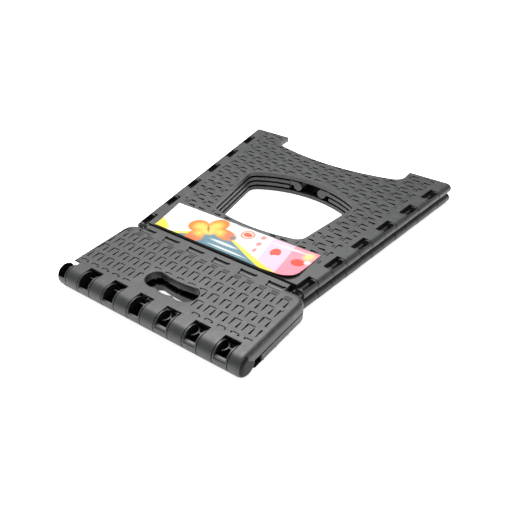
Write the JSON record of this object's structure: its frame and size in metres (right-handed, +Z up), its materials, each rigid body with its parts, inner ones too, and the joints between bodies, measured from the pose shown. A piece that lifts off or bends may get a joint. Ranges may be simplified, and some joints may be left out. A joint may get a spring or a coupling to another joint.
{
  "type": "folding step stool",
  "caption": "Folding plastic step stool, stored flat, with a grip slot in its hinged top, spreading side panels and fold-in ends.",
  "frame": {"origin": "centre of the folded stool's underside", "axes": "+Z up through the folded stack, +Y from the grip edge to the feet, +X along the hinge lines"},
  "size_m": [0.353, 0.47, 0.0303],
  "materials": {
    "anthracite_plastic": "fine satin texture, lighter and warmer where it faces the light",
    "label_paper": "glossy printed paper"
  },
  "bodies": {
    "side_panel_lower": {"side_panel_lower": "anthracite_plastic"},
    "top_half_lower": {"top_half_lower": "anthracite_plastic"},
    "top_half_upper": {"top_half_upper": "anthracite_plastic"},
    "side_panel_upper": {"side_panel_upper": "anthracite_plastic", "paper_label": "label_paper"},
    "end_half_right_lower": {"end_half_right_lower": "anthracite_plastic"},
    "end_half_left_lower": {"end_half_left_lower": "anthracite_plastic"},
    "end_half_right_upper": {"end_half_right_upper": "anthracite_plastic"},
    "end_half_left_upper": {"end_half_left_upper": "anthracite_plastic"}
  },
  "joints": [
    {"name": "lower_seat_hinge", "type": "hinge", "parent": "side_panel_lower", "child": "top_half_lower", "pos_m": [0, -0.1086, 0.0072], "axis": [-1, 0, 0], "range_deg": [0, 84.12]},
    {"name": "handle_hinge", "type": "hinge", "parent": "top_half_lower", "child": "top_half_upper", "pos_m": [0, -0.22, 0.015], "axis": [1, 0, 0], "range_deg": [0, 180]},
    {"name": "upper_seat_hinge", "type": "hinge", "parent": "top_half_upper", "child": "side_panel_upper", "pos_m": [0, -0.1086, 0.0228], "axis": [-1, 0, 0], "range_deg": [0, 84.12]},
    {"name": "lower_right_end_hinge", "type": "hinge", "parent": "side_panel_lower", "child": "end_half_right_lower", "pos_m": [0.1294, -0.085, 0.0072], "axis": [0.124, 0.9923, 0], "range_deg": [0, 87.2]},
    {"name": "lower_left_end_hinge", "type": "hinge", "parent": "side_panel_lower", "child": "end_half_left_lower", "pos_m": [-0.1294, -0.085, 0.0072], "axis": [0.124, -0.9923, 0], "range_deg": [0, 87.2]},
    {"name": "upper_right_end_hinge", "type": "hinge", "parent": "side_panel_upper", "child": "end_half_right_upper", "pos_m": [0.1294, -0.085, 0.0228], "axis": [-0.124, -0.9923, 0], "range_deg": [0, 87.2]},
    {"name": "upper_left_end_hinge", "type": "hinge", "parent": "side_panel_upper", "child": "end_half_left_upper", "pos_m": [-0.1294, -0.085, 0.0228], "axis": [-0.124, 0.9923, 0], "range_deg": [0, 87.2]}
  ],
  "couplings": [
    {"joint": "lower_seat_hinge", "follows": "handle_hinge", "ratio": 0.46733},
    {"joint": "upper_seat_hinge", "follows": "handle_hinge", "ratio": 0.46733},
    {"joint": "lower_right_end_hinge", "follows": "handle_hinge", "ratio": 0.48444},
    {"joint": "lower_left_end_hinge", "follows": "handle_hinge", "ratio": 0.48444},
    {"joint": "upper_right_end_hinge", "follows": "handle_hinge", "ratio": 0.48444},
    {"joint": "upper_left_end_hinge", "follows": "handle_hinge", "ratio": 0.48444}
  ]
}
